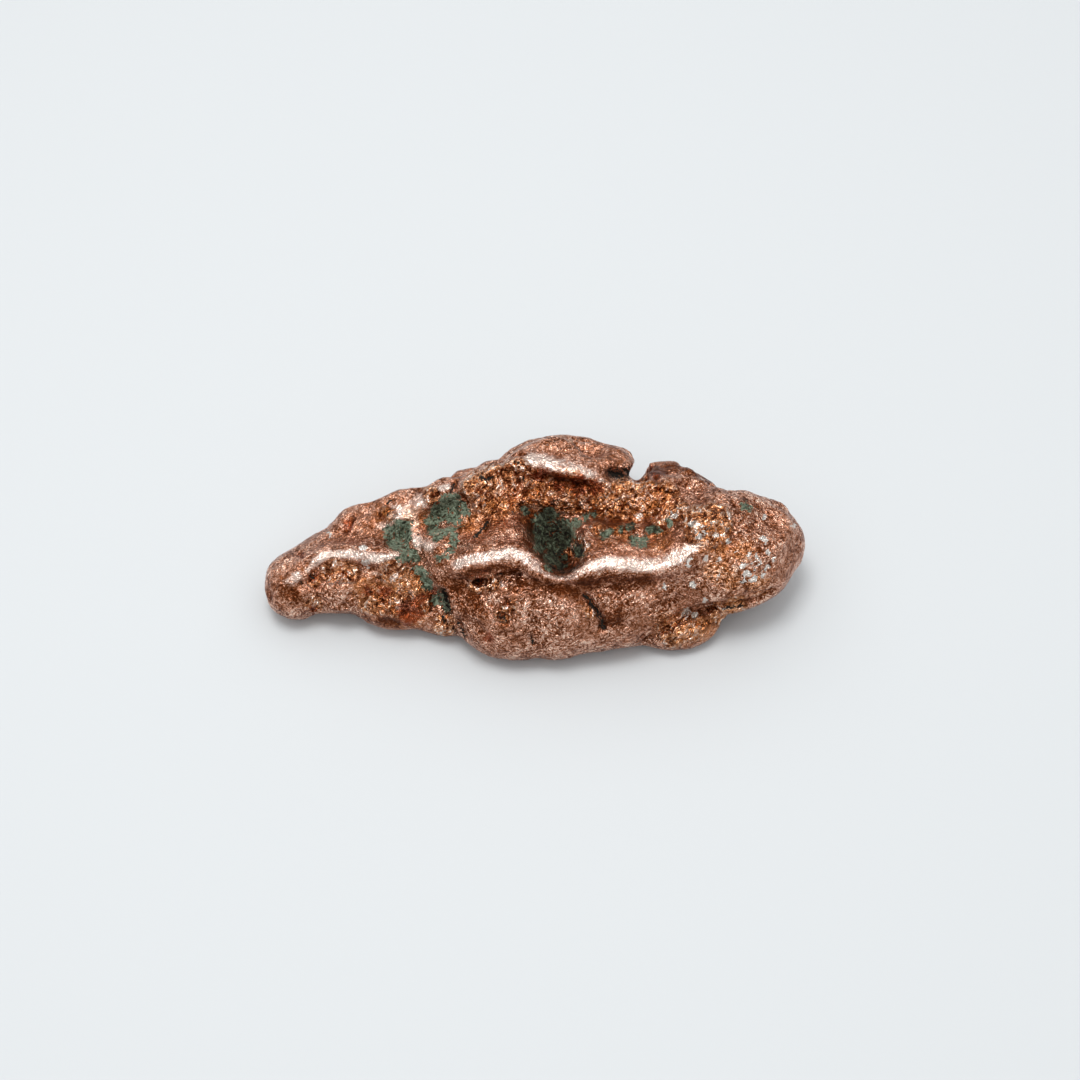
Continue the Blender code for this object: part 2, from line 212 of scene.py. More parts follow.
work("front", {
    # knob and wedge
    "wedge_crest": ([(-29.4, -4.3), (-28.2, -3.5), (-26.8, -2.8), (-25, -2.4), (-23, -2.5),
                     (-20.5, -2.8), (-18, -2.7)], 1.4, 0.55),
    "wedge_undercut": ([(-28.6, -4), (-27.5, -3.2), (-26, -2.7), (-24, -2.8), (-22.5, -3.2),
                        (-20.5, -3.3)], 0.8, -0.45),
    "rough_pocket": ([(-27, -4.2), (-25, -4.0), (-23.4, -4.3)], 1.3, -0.3),
    "pocket_lip_a": ([(-27.4, -3.6), (-26.4, -4.5)], 0.45, 0.25),
    "pocket_lip_b": ([(-26.2, -3.6), (-25, -4.4), (-23.6, -4.1)], 0.45, 0.3),
    "neck_pit": ([(-28.7, -4.7)], 0.8, -0.7),
    "knob_hole": ([(-30, -5.4)], 0.4, -0.7),
    "neck_pit_low": ([(-28.1, -5.7)], 0.7, -0.5),
    "knob_dimple": ([(-31.5, -6.8)], 1.3, -0.3),
    "knob_boss": ([(-31.5, -5.2), (-30.8, -4.7)], 1.0, 0.3),
    "knob_boss_low": ([(-29.2, -6.4)], 1.3, 0.3),
    "knob_cut_a": ([(-29, -7.4), (-28.6, -9.2)], 0.5, -0.35),
    "knob_cut_b": ([(-28.0, -7.2), (-27.6, -8.8)], 0.5, -0.35),
    "knob_scar": ([(-34, -6.6), (-33.9, -7.4)], 0.4, -0.25),
    "neck_gash": ([(-30.6, -1.4), (-29.8, -2.2), (-29.2, -3.0)], 0.7, -0.35),
    "red_pit": ([(-23.7, 2.8), (-24.1, 2.0), (-24.5, 1.3)], 0.65, -0.6),
    "red_pit_lip": ([(-24.4, 3.0), (-23.3, 3.3)], 0.45, 0.25),
    "pin_pit": ([(-25.7, 1.7)], 0.35, -0.3),
    "edge_crack": ([(-27.4, 1.9), (-26.9, 1.4)], 0.5, -0.35),
    "slope_gash": ([(-21.5, 4.4), (-21.1, 4.0)], 0.35, -0.3),
    "slope_pit": ([(-20.2, 3.1), (-20.0, 2.6)], 0.5, -0.5),
    "rim_gash": ([(-19.2, 4.8), (-18.2, 5.3)], 0.35, -0.3),
    "gold_lip": ([(-19.3, 1.9), (-18.8, 2.8), (-18.3, 3.4)], 0.6, 0.4),
    "neck_line": ([(-28, -7.5), (-26, -8.1), (-24.6, -8.1)], 0.45, -0.3),
    "neck_lip": ([(-26.8, -8.3), (-25.2, -8.6), (-23.6, -8.7)], 0.5, 0.25),
    "neck_lip_b": ([(-24.8, -7.4), (-23.4, -8.3)], 0.4, 0.25),
    "shelf_hollow": ([(-21.8, -6.2), (-19.4, -6.8)], 1.4, -0.35),
    "shelf_lip": ([(-19.2, -9.1), (-18.1, -9.5), (-16.9, -10.1)], 0.8, 0.4),
    "shelf_foot": ([(-19.4, -10.3), (-17.8, -10.5)], 0.8, -0.35),
    "red_bowl": ([(-16.4, -8.9)], 2.0, -0.4),
    # channel and the places where matrix is left
    "matrix_a": ([(-18.2, 0.0), (-17.6, 1.4)], 2.0, -0.5),
    "matrix_b": ([(-13.6, 2.2), (-11.8, 3.5), (-10.6, 4.6)], 2.2, -0.5),
    "gold_ledge_a": ([(-18.8, 1.6), (-17.6, 2.5), (-16, 3.3), (-14.6, 4.2),
                      (-13.2, 5.1)], 1.3, 0.32),
    "gold_ledge_b": ([(-16.2, 1.2), (-15.8, -0.5), (-14.3, -1.0)], 1.1, 0.32),
    "nub": ([(-12.9, -0.9)], 1.2, 0.45),
    "lobe_edge": ([(-13.4, -2.9), (-12.9, -5), (-11.3, -7), (-10.6, -9)], 1.1, 0.35),
    "black_hollow": ([(-12.3, -6.6), (-11.9, -7.8), (-11.6, -8.8)], 0.9, -1.2),
    "channel": ([(-16, -3.8), (-14.8, -4.9), (-13.8, -6.2), (-13, -7.6)], 0.9, -0.5),
    "foot_crack_a": ([(-12.3, -9.4), (-12, -10.6)], 0.32, -0.4),
    "foot_crack_b": ([(-11.2, -10.6), (-10.5, -11.9)], 0.32, -0.4),
    "foot_crack_c": ([(-10.3, -10.2), (-9.8, -11.4), (-9.2, -12.4)], 0.4, -0.55),
    "foot_crack_d": ([(-12.9, -10.3), (-11.4, -10.5)], 0.32, -0.35),
    # back left edge
    "back_glitter_a": ([(-15.6, 4.0), (-14, 5.3), (-12.6, 6.3), (-11.2, 6.6)], 0.7, 0.35),
    "back_glitter_b": ([(-9.8, 6.9), (-8, 7.7), (-6, 8.7), (-4, 9.6)], 0.8, 0.4),
    "back_pit_a": ([(-11.2, 6.0), (-10.7, 7.2)], 0.5, -0.8),
    "back_pit_b": ([(-13.8, 5.3), (-12.6, 5.8)], 0.4, -0.5),
    "back_pit_c": ([(-7.3, 7.8), (-6.2, 7.8)], 0.5, -0.6),
    "back_pit_d": ([(-3.2, 9.8), (-2.6, 9.5)], 0.45, -0.6),
    "back_pit_e": ([(-2.0, 7.6)], 0.4, -0.6),
    "back_pit_f": ([(-10.0, 5.6), (-9.6, 5.0)], 0.5, -0.5),
    "white_lug": ([(-2.7, 4.9), (-2.3, 6.1), (-1.8, 7.1)], 0.8, 0.6),
    "slit": ([(-6.6, 2.4), (-7.2, 1.3), (-8.1, 0.4)], 0.55, -1.0),
    "slit_lip": ([(-9.4, 1.2), (-8.4, 1.7), (-7.4, 2.6)], 0.6, 0.25),
    "flow_a": ([(-8.5, -1.0), (-6, 0.6), (-4, 1.4), (-1.6, 1.0)], 0.8, 0.2),
    "flow_b": ([(-7.4, -1.4), (-5, -0.4), (-3, 0.2), (-1.4, -0.4)], 0.5, -0.15),
    # front crest, its undercuts and the pit
    "rim_crest": ([(-1, -3.8), (0, -4.5), (1.2, -5.0), (3, -5.3), (4.4, -5.0)], 0.9, 0.45),
    "hood_lip": ([(-9.3, -4.1), (-8.3, -4.7), (-6.8, -4.7), (-5, -4.0), (-3.4, -3.5)], 0.6, 0.4),
    "hood_shadow": ([(-8.2, -5.1), (-6.6, -4.9), (-5, -4.3), (-3.6, -3.9),
                     (-2.6, -4.2)], 0.45, -0.7),
    "red_hollow": ([(-8, -5.3), (-7, -5.4)], 0.7, -0.5),
    "hood_floor": ([(-7.6, -6.4), (-5, -6.4), (-3, -6)], 0.9, -0.4),
    "rim_shadow": ([(1.5, -5.7), (3, -5.7), (4.6, -5.8)], 0.8, -0.45),
    "pit_floor": ([(0.8, 1.5), (1.5, -1), (2.6, -2.8)], 2.2, -0.8),
    "pit_right_wall": ([(5.9, 0.6), (6.2, -1.2), (5.9, -2.8)], 0.9, 0.5),
    "pit_block_a": ([(3.9, -0.7)], 0.9, 0.7),
    "pit_block_b": ([(1.8, -2.1), (2.6, -2.4)], 0.6, 0.5),
    "pit_block_c": ([(4.0, -2.7)], 0.8, 0.5),
    "pit_tongue_a": ([(-2.2, 4.0), (-1.0, 3.3)], 0.8, -0.4),
    "pit_tongue_b": ([(5.0, 2.4), (7.6, 3.3)], 0.7, -0.4),
    "groove": ([(7.4, 0.7), (9.2, 1.0), (11.4, 0.4), (13.4, 0.4), (15.4, 1.0)], 0.9, -0.45),
    "bump_edge": ([(6.0, -0.8), (8, -0.1), (10, -0.4), (12, -1.3), (14.4, -1.1),
                   (16.6, -0.2)], 0.6, 0.15),
    # front face
    "black_crack": (BLACK_CRACK, 0.40, -0.8),
    "crack_lip": ([(5.2, -7.6), (6.2, -9.2), (7.3, -10.1)], 0.9, 0.35),
    "face_hollow": ([(-4.8, -9.4), (-4.2, -9.9)], 1.1, -0.6),
    "face_gash": ([(-4.4, -7.3), (-3.9, -8.1), (-3.4, -9)], 0.5, -0.5),
    "face_ring": ([(-6.9, -9.0), (-6.1, -8.7), (-5.4, -9.3), (-6.0, -9.9), (-6.9, -9.6)], 0.4, 0.2),
    "face_pit": ([(-1.0, -12.3), (-0.9, -13.0)], 0.5, -0.5),
    "face_groove": ([(-8.0, -10.6), (-6.9, -12.1), (-5.9, -13.6)], 0.7, -0.35),
    "face_dent_a": ([(9.6, -10.6), (11.4, -10.7)], 1.0, -0.3),
    "face_dent_b": ([(-0.6, -9.4), (-0.4, -11.4)], 0.6, -0.3),
    "face_dent_c": ([(14.8, -8.4), (16.8, -7.6)], 1.2, -0.3),
    "left_crest": ([(-10.4, -3.8), (-9, -3.4), (-7, -2.95), (-5, -2.7), (-3.5, -2.5),
                    (-2.2, -3.0), (-1, -3.8)], 1.5, 0.42),
    "right_crest_end": ([(14.6, -3.9), (17, -3.3), (19, -2.4), (20.4, -1)], 1.3, 0.35),
    # under lobe, horn and blunt end
    "under_seam": ([(13.2, -12.9), (14.6, -11.8), (16.5, -10.8), (19, -9.6), (21.5, -8.7),
                    (24, -8.2), (27, -7.7), (29.5, -6.3)], 0.55, -0.7),
    "under_seam_hole": ([(23.4, -8.6), (25.4, -8.2)], 0.6, -0.8),
    "under_slit": ([(19.8, -10.8), (21.3, -10.4)], 0.35, -0.5),
    "horn_ridge": ([(14.5, 7.2), (17, 7.6), (19, 7.6), (21, 6.9), (23, 5.6)], 0.9, 0.15),
    "horn_valley": ([(16, 8.3), (19, 8.3), (21.5, 7.7)], 0.5, -0.25),
    "horn_mouth": ([(13.7, 8.9), (14.4, 8.2), (15, 7.6)], 0.65, -0.8),
    "lobe_hole": ([(9.0, 8.6), (10.6, 8.2)], 0.9, -1.1),
    "lobe_hole_teeth": ([(8.8, 9.9), (9.6, 9.1), (10.8, 9.3), (11.4, 9.9)], 0.45, 0.35),
    "white_bead": ([(7.6, 7.5), (8.2, 6.9)], 0.6, 0.5),
    "lobe_undercut": ([(0.5, 7.9), (3, 7.2), (5.5, 7.2), (7.2, 7.4)], 1.0, -0.4),
    "lobe_crest": ([(-1, 9.6), (1, 9.0), (3, 8.4), (5, 7.9), (6.5, 7.4)], 1.2, 0.3),
    "dark_spot_a": ([(19.9, 5.8), (20.2, 4.8)], 0.6, -0.4),
    "dark_spot_b": ([(22.9, 4.0)], 0.5, -0.4),
    "v_notch": ([(23.9, 5.6), (24.4, 4.6)], 0.6, -0.5),
    "bump_crack": ([(24.6, 4.6), (25.4, 3.6)], 0.35, -0.4),
    "silver_pocket": ([(17.0, 2.2), (17.6, 3.0)], 0.6, -0.4),
    "end_pit": ([(28.9, -2.9), (29.2, -3.2)], 0.4, -0.4),
})
work("back", {
    "back_seam": ([(-20, -2), (-14, -3.4), (-7, -4.2), (0, -4), (6, -2.6)], 0.8, -0.5),
    "back_lip": ([(-15, -0.4), (-9, -1.2), (-2, -1.6), (5, -0.4)], 1.0, 0.4),
    "back_hole": ([(-5.5, 0.8), (-4.4, 0.2)], 0.9, -1.0),
    "back_crack": ([(2, 3.6), (4.2, 2.2), (5, 0.6)], 0.45, -0.8),
    "wedge_back_seam": ([(11, -0.6), (17, -1.6), (24, -2.6), (28, -2.2)], 0.8, -0.45),
    "wedge_back_pit": ([(15.4, 1.4)], 0.9, -0.7),
    "blunt_pit": ([(-25.6, 0.4), (-24.6, -0.6)], 0.8, -0.7),
    "blunt_lip": ([(-31, 1.2), (-28, 1.8), (-24.5, 2.2)], 0.9, 0.35),
})
applied("REMESH", mode="VOXEL", voxel_size=NET_SPACING * MM)
applied("SMOOTH", iterations=1, factor=SMOOTH_SHARE)


# ---------------------------------------------------------------------------------------------
# Fine relief: the rolled skin is gently dimpled, and where rolling hasn't reached, in hollows and
# on the back slope, the copper keeps its hackly crystal faces, each tilted its own way.
# ---------------------------------------------------------------------------------------------
NOISE_TABLE = 4096
NOISE_PRIMES = (73856093, 19349663, 83492791)
FINE_ROUNDS = 3
# Each dimple noise: size, height and seed.
DIMPLES = ((3.4, 0.11, 10), (1.7, 0.09, 11), (0.9, 0.055, 12), (0.5, 0.03, 13))
CRYSTAL_SIZE = 0.9
CRYSTAL_TILT = 0.20
CRYSTAL_STEP = 0.03
CRYSTAL_LIMIT = 0.25
CRYSTAL_SEED = 31
GRAIN_EDGE = 0.8
GRAIN_FRAY = 0.35
GRAIN_FRAY_SIZE = 1.3
GRAIN_SEED = 21
GRAIN_ROUNDS = 2
DIMPLES_LOST_IN_GRAIN = 0.6
# Below this height the relief fades, so that the lump still lies flat.
FLAT_FOOT = 0.6
NO_PAINT = -3.0
PAINT_SIGHT = 0.1
# Where the grain lies: discs on a sheet, each u, v and radius.
GRAINY = {"front": [
    (-26, -3.9, 1.6), (-24, -3.9, 1.4), (-28.4, -5, 1), (-28.4, -8.2, 1.1), (-19.2, 3.4, 0.9),
    (-13.6, 5.6, 1.2), (-18.6, -4, 1.6), (-16.8, -5.4, 2), (-15, -7.4, 1.8), (-20.4, -7.6, 1.8),
    (-22, -8, 1), (-18, -8, 1.5), (-12, -10.8, 1.4), (-8, 7, 1.8), (-5.6, 7.6, 2), (-3, 8, 2.2),
    (-6.5, 5, 1.8), (-3.6, 5.4, 2), (-1, 6.4, 2.4), (1, 5.6, 2.4), (3.6, 5.6, 2.4), (6, 5.4, 2.4),
    (8.4, 5, 2.4), (10.6, 5.4, 2.4), (13, 5.2, 2.4), (15.6, 5, 2.2), (17, 4, 1.6), (11.6, 3, 1.4),
    (15.4, 3, 1.4), (7.2, 1.2, 1), (4.6, -1, 1.6), (20, 2.4, 2), (22, 2.6, 2), (21.4, 0.8, 1.6),
    (19.2, 0.8, 1.2), (23, 0.8, 1.2), (-7.8, -5.6, 1), (-6, -5.4, 1), (-4.6, -9.4, 1),
    (-3.6, -8.4, 0.8), (6.3, -9.2, 0.9), (24.6, -8.4, 1.4), (22.4, -9.2, 1.4), (19, -10.8, 2),
    (16.6, -11.4, 2),
], "back": [
    (-12, -2, 2.4), (-8, -3, 2.4), (-3, -3, 2.6), (2, -2.6, 2.4), (6, -1.4, 2), (-5, 1.4, 2),
    (14, -2.6, 2), (18, -3.2, 2), (22, -3, 2), (-24, 0, 2), (-20, -1, 2),
]}


def cloudy(points, size, seed):
    """Smooth random values from -1 to 1 that change over about this size."""
    table = np.random.default_rng(seed).uniform(-1, 1, NOISE_TABLE)
    cell = np.floor(points / size).astype(np.int64)
    part = points / size - cell
    part = part * part * (3 - 2 * part)
    total = np.zeros(len(points))
    for corner in np.ndindex(2, 2, 2):
        x, y, z = ((cell + corner) * NOISE_PRIMES).T
        pick = (x ^ y ^ z) % NOISE_TABLE
        total += np.prod(np.where(corner, part, 1 - part), axis=1) * table[pick]
    return total


def spots(u, v, discs):
    """How far inside the nearest edge of a set of discs each point lies, in mm."""
    inside = np.full(len(u), NO_PAINT)
    for disc_u, disc_v, radius in discs:
        inside = np.maximum(inside, radius - np.hypot(u - disc_u, v - disc_v))
    return inside


def painted(points, seen, sheets):
    """The same for discs drawn on several sheets, only where each sheet's viewer sees."""
    inside = np.full(len(points), NO_PAINT)
    for sheet, discs in sheets.items():
        u, v = on_sheet(points, sheet)
        here = np.where(seen[sheet] > PAINT_SIGHT, spots(u, v, discs), NO_PAINT)
        inside = np.maximum(inside, here)
    return inside


points, directions = net_points()
edges = net_edges()
seen = {sheet: in_sight(points, directions, sheet) for sheet in ("front", "back")}
seen["back"][seen["front"] > 0] = 0
outward = evened(directions, edges, FINE_ROUNDS)
outward /= np.linalg.norm(outward, axis=1)[:, None]
fray = GRAIN_FRAY * cloudy(points, GRAIN_FRAY_SIZE, GRAIN_SEED)
grain = np.clip(0.5 + painted(points, seen, GRAINY) / GRAIN_EDGE + fray, 0, 1)
grain = evened(grain, edges, GRAIN_ROUNDS)

lift = sum(height * cloudy(points, size, seed) for size, height, seed in DIMPLES)
dice = np.random.default_rng(CRYSTAL_SEED)
crystal_count = int(len(points) * NET_SPACING**2 / CRYSTAL_SIZE**2)
chosen = dice.choice(len(points), crystal_count, replace=False)
finder = KDTree(crystal_count)
for crystal, index in enumerate(chosen):
    finder.insert(points[index], crystal)
finder.balance()
crystal_of = np.array([finder.find(point)[1] for point in points])
tilts = dice.normal(0, CRYSTAL_TILT, (crystal_count, 3))
steps = dice.uniform(-CRYSTAL_STEP, CRYSTAL_STEP, crystal_count)
from_middle = points - points[chosen][crystal_of]
facets = (tilts[crystal_of] * from_middle).sum(axis=1) + steps[crystal_of]
facets = np.clip(facets, -CRYSTAL_LIMIT, CRYSTAL_LIMIT)
lift = (1 - DIMPLES_LOST_IN_GRAIN * grain) * lift + grain * facets
lift *= np.clip(points[:, 2] / FLAT_FOOT, 0, 1)
set_net(points + outward * lift[:, None])


# ---------------------------------------------------------------------------------------------
# Where each colour lies, kept on the net for the finish: matrix in the deep places, silver specks,
# warm and red oxide, worn crests with a painted highlight, painted shade under the crests and in
# hollows, cracks painted black as shade, and how hollow the skin is, for painted shade in its dips.
# Matrix, silver and oxide are laid as discs, and the rest along lines, each with its reach.
# ---------------------------------------------------------------------------------------------
BROAD_ROUNDS = 40
MATRIX = {"front": [
    (-18.6, 0.9, 1), (-17.6, 1.6, 1), (-17.2, 0.6, 1.1), (-18.2, -0.2, 1), (-16.6, 1.9, 0.6),
    (-17, -1.2, 0.7), (-16.3, -1.8, 0.9), (-17.3, -2.2, 0.6), (-15.7, -2.4, 0.6), (-13.6, 2.4, 0.9),
    (-13.4, 1.3, 0.8), (-12.6, 3.6, 1.2), (-11.6, 4.5, 1.2), (-11, 3.2, 1.2), (-10.2, 4, 1.1),
    (-10.6, 5.3, 0.7), (-9.4, 3.6, 0.6), (-10.4, 2.4, 0.8), (-12.3, 0.8, 0.6), (-13.1, 0.4, 0.5),
    (-11.2, 1.2, 0.5), (-10.9, 0.4, 0.6), (-10.8, -0.4, 0.6), (-11.3, -1.2, 0.5), (-12, -2, 0.45),
    (-12.8, -2.3, 0.4), (-15.2, -3.8, 0.7), (-14.5, -4.6, 0.6), (-14, -5.4, 0.6), (-14.4, -6, 0.35),
    (-13.1, -7.6, 0.6), (-12.2, -6.8, 0.5), (-12, -7.8, 0.6), (-11.7, -8.6, 0.5), (0, 2.4, 1),
    (-1.8, 3.6, 0.5), (1.2, 3.2, 1), (0.6, 1, 1.4), (1.8, 0.6, 1.6), (2, -1, 1.2), (3, 1.6, 1.2),
    (2.8, 0, 1.2), (4.6, 2.2, 0.6), (5.8, 3, 0.6), (6.8, 3.3, 0.4), (4.8, -1.4, 0.8),
    (3, -2.2, 0.5), (1, -3.4, 0.5), (1.4, -2.2, 0.9), (2.6, -3.2, 0.6), (0, -0.8, 0.8),
    (3.6, 0.6, 1), (8.1, 0.7, 0.6), (8.8, 1.1, 0.5), (11.3, 1.6, 0.6), (10.3, 1.3, 0.4),
    (12, -0.1, 0.7), (12.8, -0.4, 0.6), (14, 1.3, 0.6), (14.8, 1.1, 0.5), (16.3, 2.2, 0.5),
    (13.2, 0.1, 0.4), (25.6, 4.3, 0.5), (26.4, 4, 0.35),
], "back": [
    (-11, -2.4, 1.1), (-9.4, -3, 1.0), (-7.6, -3.4, 0.8), (-5, 0.8, 1.0), (-4.2, 0.2, 0.8),
    (1, -3, 0.9), (2.4, -2.6, 0.7), (15.6, 1.2, 0.7), (18.4, -3.4, 0.9), (-24.8, -0.4, 0.8),
]}
SILVER = {"front": [
    (18.9, 2.1, 0.40), (20.4, 1.7, 0.40), (20.1, 0.6, 0.50), (20.6, 1.1, 0.35), (22.2, 0.5, 0.40),
    (22.9, 0.8, 0.30), (23.6, -0.2, 0.30), (28.0, 0.0, 0.50), (28.4, -0.4, 0.35), (31.8, 1.7, 0.25),
    (28.1, 2.9, 0.22), (18.7, -2.6, 0.40), (18.6, -3.1, 0.30), (20.9, -2.4, 0.45),
    (22.6, -2.7, 0.30), (24.9, -1.5, 0.32), (26.3, -2.0, 0.35), (27.2, -2.1, 0.30),
    (27.5, -3.0, 0.40), (26.7, -2.9, 0.30), (25.5, -3.1, 0.38), (26.2, -4.2, 0.62),
    (26.8, -4.9, 0.40), (25.6, -5.3, 0.35), (27.0, -3.7, 0.42), (28.5, -3.4, 0.32),
    (28.1, -4.4, 0.30), (29.3, -2.4, 0.25), (28.6, -1.5, 0.25), (22.4, -4.6, 0.35),
    (19.2, -5.6, 0.45), (15.7, -5.9, 0.32), (16.8, 3.0, 0.50), (17.3, 3.5, 0.35),
    (18.4, -9.2, 0.60), (19.4, -9.5, 0.45), (20.9, -7.7, 0.35), (12.6, 3.0, 0.40),
    (-22.0, -2.9, 0.50), (-21.6, -3.4, 0.30), (-22.2, -0.9, 0.40), (-26.5, 0.7, 0.28),
    (6.2, -1.6, 0.25),
], "back": [
    (-28, -1.4, 0.5), (-26, -3, 0.6), (-23, -1.8, 0.5), (-21.6, -3.6, 0.4), (-17, 0.4, 0.5),
]}
WARM = {"front": [
    (-22, -6, 1.8), (-19.5, -6.6, 1.8), (-16.4, -9, 2.2), (-6, 4, 3), (-9, 2.6, 1.8), (0, 5, 3.5),
    (4, 6, 3), (9, 4.6, 3), (14, 5, 3), (6, -8.6, 1), (22, -0.4, 2.2), (22.4, -3.6, 2),
    (25.4, -1.4, 1.6), (24, -5, 1.5), (27.4, -5.6, 1.6), (18, -11, 2.4), (21, -11.4, 2),
    (16, -10.8, 1.8), (-15.6, 2.6, 1.8), (-19.6, 3, 1.2), (-28.6, -4.6, 1), (-16, -5.6, 1.8),
    (10, 0.8, 1.6), (15, 0, 1.6), (24.4, -8.6, 1.4),
], "back": [(-10, -2.6, 3), (-2, -2.8, 3), (5, -1.6, 2.4), (-24, -1, 2.4), (18, -3, 2.6)]}
RED = {"front": [
    (-24, 2, 0.6), (-16.4, -9, 1.8), (-19.6, -6.6, 0.9), (-21.6, -6.4, 0.7), (4.8, 6.9, 1.4),
    (2.6, 7.2, 1.2), (7, 6.6, 1.1), (-7.6, -5.2, 0.6), (-4.1, -8, 0.5), (-28.5, -4.7, 0.7),
    (-28.5, -8.6, 0.7), (-29.8, -2, 0.5), (-13.5, -6.6, 0.7), (-15, -7.6, 0.9), (-6.6, -12.2, 0.7),
    (-33.9, -7, 0.3), (0, 8.2, 1), (14.6, 8.2, 0.8),
], "back": [(-6, -3.6, 1.2), (3, -3.2, 1), (20, -3.4, 1)]}
# Crests and ledges worn smooth, each with a painted highlight along it that lightens its colour.
RUBBED_AND_HIGHLIGHT = {
    "knob_boss": ([(-31.6, -5.3), (-30.6, -4.6)], 0.9),
    "neck_top": ([(-29.2, -3.8), (-28.4, -2.9)], 0.5),
    "wedge_crest": ([(-28.4, -2.9), (-27, -2), (-25, -1.7), (-23, -1.8), (-20.5, -2.3),
                     (-18, -2)], 0.9),
    "gold_ledge_a": ([(-19.4, 2.2), (-18.2, 3.4), (-16.6, 3.4), (-15.4, 4.4), (-14, 5.4)], 1.5),
    "gold_ledge_b": ([(-15.8, 2.4), (-15.6, 0.6), (-15.2, -0.4), (-13.9, -0.7)], 1.2),
    "back_glitter_a": ([(-13.4, 6.2), (-11.6, 6.7)], 0.6),
    "back_glitter_b": ([(-9.6, 6.9), (-7.6, 7.8), (-5.6, 8.8), (-3.6, 9.8)], 0.8),
    "lug": ([(-2.7, 5.1), (-2.2, 6.2)], 0.7),
    "bead": ([(7.7, 7.4), (8.1, 7)], 0.6),
    "lobe_band": ([(-1, 10.2), (1, 9.7), (3, 9), (5, 8.4), (6, 8.1)], 1.5),
    "left_crest": ([(-10.4, -3), (-9, -2.6), (-7, -2.2), (-5, -1.8), (-3.5, -1.6), (-2, -2.2),
                    (-0.5, -3.3)], 1.0),
    "rim_crest": ([(-0.5, -3.4), (1, -4.4), (3, -4.75), (4.6, -4.5)], 0.5),
    "right_crest": ([(4.8, -4.3), (6.2, -3.6), (8, -2.9), (10, -3), (13, -3.2), (15, -2.9),
                     (17, -2.1)], 1.3),
    "right_crest_end": ([(14, -3.2), (17, -2.6), (19, -1), (20.6, 0.4)], 1.1),
    "fold_light": ([(20, 3.2), (22, 2.8), (23, 1.4)], 0.9),
    "hood_glint": ([(-7.8, -5.7), (-6, -5.7), (-4.8, -5.7)], 0.4),
}
# Painted shade that darkens the colour under the crests, rim and lobe, in dimples, gashes, hollows,
# the groove and the pit, at the foot and over the horn's top.
PAINTED_SHADE = {
    "under_right_crest": ([(5.4, -5.4), (8, -5.3), (11, -5.4), (13.4, -5.3)], 1.5),
    "under_rim": ([(-2.4, -5.2), (0, -5.6), (2.4, -6.2), (4.4, -6.6)], 1.0),
    "under_left_crest": ([(-10, -4.4), (-8, -3.9), (-5.6, -3.4), (-3, -3.6)], 0.5),
    "lobe_side": ([(-9.8, -6), (-8.8, -7.2), (-8.8, -8.4)], 2.7),
    "knob_dimple": ([(-31.8, -6.6), (-31, -7.2)], 1.6),
    "wedge_foot": ([(-20, -10.2), (-18, -10.4)], 0.9),
    "face_brown": ([(8.4, -10.4), (10, -9.6)], 1.2),
    "face_gash": ([(-5.2, -9.2), (-4.4, -10)], 0.9),
    "horn_top": ([(14.6, 8.6), (17, 9.2), (19.6, 8.6), (21.4, 7.6)], 1.0),
    "groove": ([(7.6, 2.2), (10.4, 2), (13, 1.8), (15, 2)], 1.2),
    "under_lobe_back": ([(1.8, 7.9), (4, 7.4), (6, 7.2)], 0.9),
    "pit": ([(0.4, 2.4), (1.2, 0.8), (2.2, -1.2), (3.4, -2.6)], 3.0),
}
# Cracks, slits, holes and deep pits, painted black as shade.
CRACKS = {
    "black_crack": (BLACK_CRACK, 0.45),
    "hood": ([(-8.3, -5.1), (-7.4, -5.2)], 0.25),
    "hood_right": ([(-5.4, -4.4), (-4.8, -4.2)], 0.22),
    "slit": ([(-6.7, 2.3), (-7.0, 1.6), (-7.6, 1.0), (-8.3, 0.3)], 0.46),
    "pit_arc": ([(1.2, -3.2), (2.4, -3.9), (3.8, -3.9), (4.8, -3.2)], 0.35),
    "pit_side": ([(4.6, -0.4), (5.2, -1.2), (5, -2.2)], 0.45),
    "black_hollow": ([(-12.1, -6.4), (-11.7, -7.6), (-11.5, -8.6)], 0.6),
    "back_pit_a": ([(-11.2, 6.0), (-10.8, 7.0)], 0.4),
    "back_pit_c": ([(-7.5, 7.9), (-6.9, 7.6), (-6, 7.9)], 0.4),
    "back_pit_e": ([(-2.2, 7.9), (-1.9, 7.5)], 0.35),
    "back_pit_d": ([(-3.2, 9.9), (-2.4, 9.6)], 0.3),
    "foot_a": ([(-12.3, -9.6), (-12, -10.4)], 0.25),
    "foot_b": ([(-11.2, -10.6), (-10.6, -11.6)], 0.25),
    "foot_c": ([(-10.3, -10.4), (-9.8, -11.4), (-9.3, -12.3)], 0.35),
    "neck_pit": ([(-28.9, -4.6), (-28.4, -4.9)], 0.35),
    "knob_hole": ([(-30, -5.4)], 0.35),
    "lobe_hole": ([(8.9, 8.5), (10, 8.2), (10.9, 8.6)], 1.3),
    "seam": ([(23.2, -8.6), (25.4, -8.2)], 0.4),
    "rim_gash": ([(-19.2, 4.6), (-18.3, 5.2)], 0.3),
    "face_dark": ([(-4.9, -9.6), (-4.3, -9.9)], 0.45),
    "face_pit": ([(-1.0, -12.3), (-0.9, -12.9)], 0.35),
    "gold_gash": ([(-19.4, 2.6), (-19, 3.4)], 0.25),
    "matrix_rim": ([(-16, 2.6), (-15.4, 1.4), (-15.3, 0.6)], 0.2),
}


def keep(name, values):
    """Store one value for each point of the net, for the finish to read."""
    attribute = nugget.data.attributes.new(name, "FLOAT", "POINT")
    attribute.data.foreach_set("value", values.astype(np.float32))


